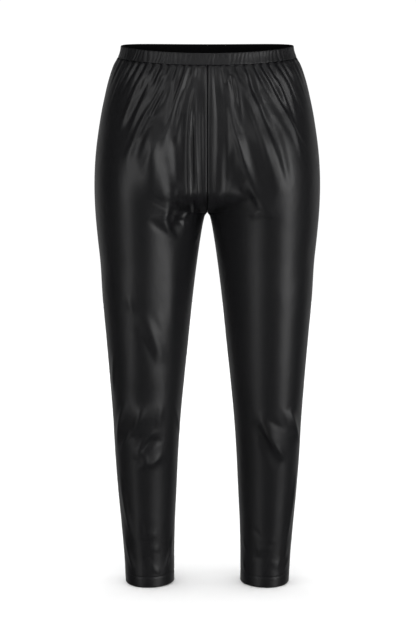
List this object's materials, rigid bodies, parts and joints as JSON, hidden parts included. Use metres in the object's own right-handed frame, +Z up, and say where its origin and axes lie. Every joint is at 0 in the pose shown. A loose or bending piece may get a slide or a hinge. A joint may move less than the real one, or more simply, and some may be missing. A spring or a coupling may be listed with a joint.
{
  "type": "cropped leggings",
  "caption": "Pull-on cropped leggings in thin black coated cloth, hollow in their worn shape, with a gathered elastic waistband and turned hems.",
  "frame": {"origin": "middle of the waist opening, at mid-height of the waistband at the sides", "axes": "+Z up along the wearer, +X towards the wearer's left, the front of the leggings faces -Y"},
  "size_m": [0.3728, 0.2523, 0.9111],
  "materials": {
    "cloth": "black coated stretch cloth with a satin sheen and a fine leather grain",
    "waistband": "the same coated cloth, gathered into fine ribs over an elastic"
  },
  "bodies": {
    "root": {"waistband": "waistband", "front_left": "cloth", "front_right": "cloth", "back_left": "cloth", "back_right": "cloth"}
  },
  "joints": []
}
